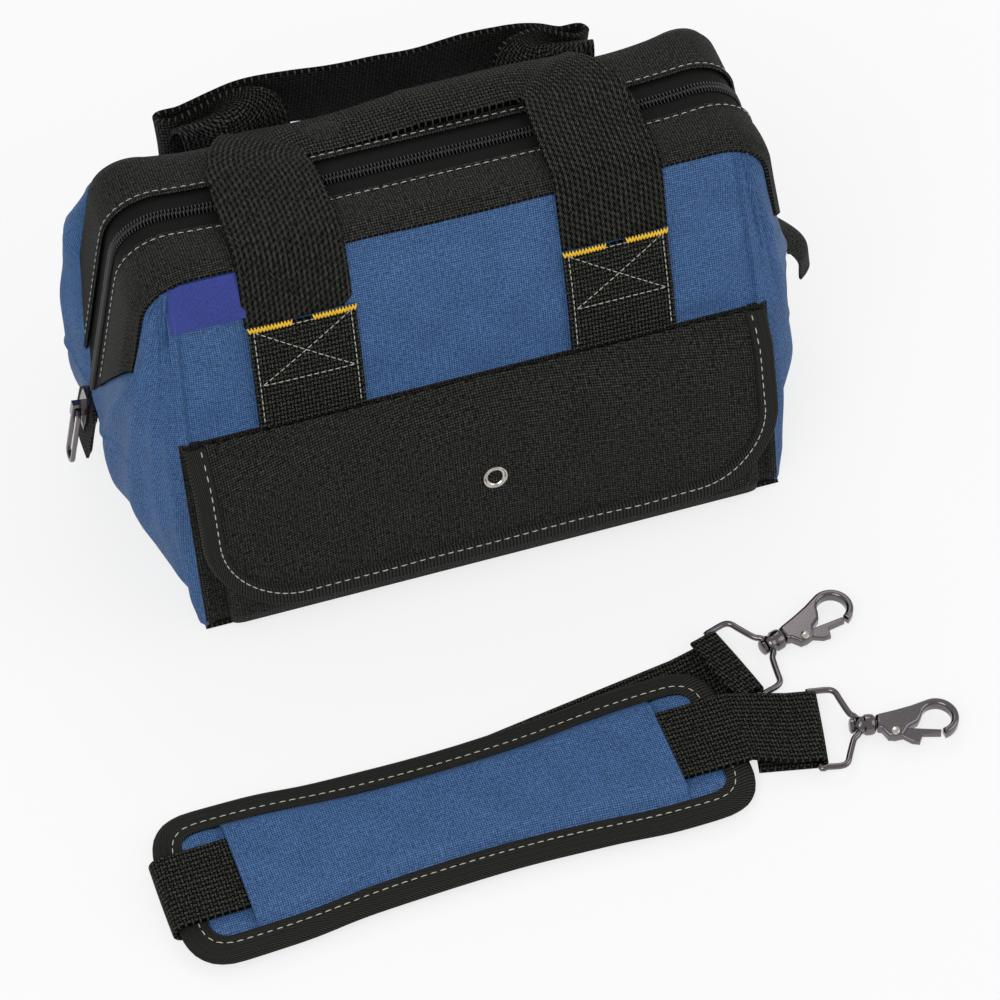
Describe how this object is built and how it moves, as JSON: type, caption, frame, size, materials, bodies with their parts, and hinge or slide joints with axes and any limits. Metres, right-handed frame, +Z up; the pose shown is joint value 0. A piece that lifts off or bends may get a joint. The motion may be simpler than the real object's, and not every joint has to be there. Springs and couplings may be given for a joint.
{
  "type": "zippered tool bag",
  "caption": "Cloth tool bag with a zipped frame mouth, two webbing handles, a snapped flap pocket and a loose padded shoulder strap with snap hooks.",
  "frame": {"origin": "centre of the bag's underside", "axes": "+Z up, -Y towards the front pocket and the strap, +X towards the right end of the bag, away from the slider"},
  "size_m": [0.3773, 0.3829, 0.1938],
  "materials": {
    "blue_cloth": "woven polyester, matte",
    "black_cloth": "woven polyester, matte",
    "black_webbing": "ribbed webbing",
    "binding_tape": "ribbed tape",
    "zip_tape": "woven tape",
    "zip_chain": "moulded coil",
    "gunmetal": "dark polished plating",
    "bright_ring": "bright plated",
    "frame_wire": "plain steel wire",
    "board": "plain sheet",
    "label_cloth": "blank woven label"
  },
  "bodies": {
    "bag": {"base_panel": "black_cloth", "base_board": "board", "front_lower_panel": "black_cloth", "rear_lower_panel": "black_cloth", "front_upper_panel": "blue_cloth", "rear_upper_panel": "blue_cloth", "left_gusset": "blue_cloth", "right_gusset": "blue_cloth", "left_front_gore": "blue_cloth", "left_rear_gore": "blue_cloth", "right_front_gore": "blue_cloth", "right_rear_gore": "blue_cloth", "front_left_anchor": "black_webbing", "front_right_anchor": "black_webbing", "rear_left_anchor": "black_webbing", "rear_right_anchor": "black_webbing", "front_pocket": "black_cloth", "snap_stud": "gunmetal", "left_zip_tail": "black_cloth", "right_zip_tail": "black_cloth", "left_zip_stop": "gunmetal", "right_zip_stop": "gunmetal", "left_ring_tab": "black_webbing", "right_ring_tab": "black_webbing"},
    "front_mouth": {"front_band": "black_cloth", "front_zip_tape": "zip_tape", "front_zip_chain": "zip_chain", "front_frame_wire": "frame_wire", "blank_label": "label_cloth"},
    "rear_mouth": {"rear_band": "black_cloth", "rear_zip_tape": "zip_tape", "rear_zip_chain": "zip_chain", "rear_frame_wire": "frame_wire"},
    "slider": {"slider_body": "gunmetal"},
    "pull": {"slider_pull": "gunmetal"},
    "front_handle": {"front_handle": "black_webbing"},
    "rear_handle": {"rear_handle": "black_webbing"},
    "flap": {"pocket_flap": "black_cloth", "flap_binding": "binding_tape", "flap_eyelet": "bright_ring", "snap_socket": "gunmetal"},
    "left_d_ring": {"left_d_ring": "gunmetal"},
    "right_d_ring": {"right_d_ring": "gunmetal"},
    "strap": {"shoulder_pad": "blue_cloth", "pad_binding": "binding_tape", "pad_sleeve": "blue_cloth", "strap_webbing": "black_webbing", "upper_hook_loop": "gunmetal", "lower_hook_loop": "gunmetal"},
    "upper_hook": {"upper_hook_body": "gunmetal", "upper_hook_rivet": "gunmetal"},
    "upper_gate": {"upper_hook_gate": "gunmetal"},
    "lower_hook": {"lower_hook_body": "gunmetal", "lower_hook_rivet": "gunmetal"},
    "lower_gate": {"lower_hook_gate": "gunmetal"}
  },
  "joints": [
    {"name": "slider_travel", "type": "slide", "parent": "bag", "child": "slider", "axis": [0.1738, 0, 0.9848], "range_m": [0, 0.085]},
    {"name": "pull_swing", "type": "hinge", "parent": "slider", "child": "pull", "pos_m": [-0.1745, 0, 0.0617], "axis": [0, 1, 0], "range_deg": [0, 165]},
    {"name": "front_mouth_open", "type": "hinge", "parent": "bag", "child": "front_mouth", "pos_m": [0, 0, 0.072], "axis": [1, 0, 0], "range_deg": [0, 35], "deforming": ["front_upper_panel", "left_front_gore", "right_front_gore", "front_left_anchor", "front_right_anchor"]},
    {"name": "rear_mouth_open", "type": "hinge", "parent": "bag", "child": "rear_mouth", "pos_m": [0, 0, 0.072], "axis": [1, 0, 0], "range_deg": [-35, 0], "deforming": ["rear_upper_panel", "left_rear_gore", "right_rear_gore", "rear_left_anchor", "rear_right_anchor"]},
    {"name": "front_handle_swing", "type": "hinge", "parent": "front_mouth", "child": "front_handle", "pos_m": [0, -0.0543, 0.1544], "axis": [1, 0, 0], "range_deg": [0, 120]},
    {"name": "rear_handle_swing", "type": "hinge", "parent": "rear_mouth", "child": "rear_handle", "pos_m": [0, 0.0543, 0.1544], "axis": [1, 0, 0], "range_deg": [0, 45]},
    {"name": "flap_lift", "type": "hinge", "parent": "bag", "child": "flap", "pos_m": [0, -0.072, 0.1023], "axis": [1, 0, 0], "range_deg": [-125, 0]},
    {"name": "left_ring_swing", "type": "hinge", "parent": "bag", "child": "left_d_ring", "pos_m": [-0.122, 0.0822, 0.075], "axis": [1, 0, 0], "range_deg": [0, 150]},
    {"name": "right_ring_swing", "type": "hinge", "parent": "bag", "child": "right_d_ring", "pos_m": [0.122, 0.0822, 0.075], "axis": [1, 0, 0], "range_deg": [0, 150]},
    {"name": "strap_lift", "type": "slide", "parent": "bag", "child": "strap", "axis": [0, 0, 1], "range_m": [0, 0.3]},
    {"name": "upper_swivel", "type": "hinge", "parent": "strap", "child": "upper_hook", "pos_m": [0.084, -0.197, 0.0056], "axis": [0.9613, 0.2756, 0], "continuous": true},
    {"name": "lower_swivel", "type": "hinge", "parent": "strap", "child": "lower_hook", "pos_m": [0.107, -0.243, 0.0056], "axis": [0.9781, -0.2079, 0], "continuous": true},
    {"name": "upper_gate_open", "type": "hinge", "parent": "upper_hook", "child": "upper_gate", "pos_m": [0.12085, -0.19309, 0.0056], "axis": [0, 0, 1], "range_deg": [0, 18], "stiffness_Nm_per_rad": 0.02, "springref_deg": -17.19},
    {"name": "lower_gate_open", "type": "hinge", "parent": "lower_hook", "child": "lower_gate", "pos_m": [0.14137, -0.25685, 0.0056], "axis": [0, 0, 1], "range_deg": [0, 18], "stiffness_Nm_per_rad": 0.02, "springref_deg": -17.19}
  ]
}
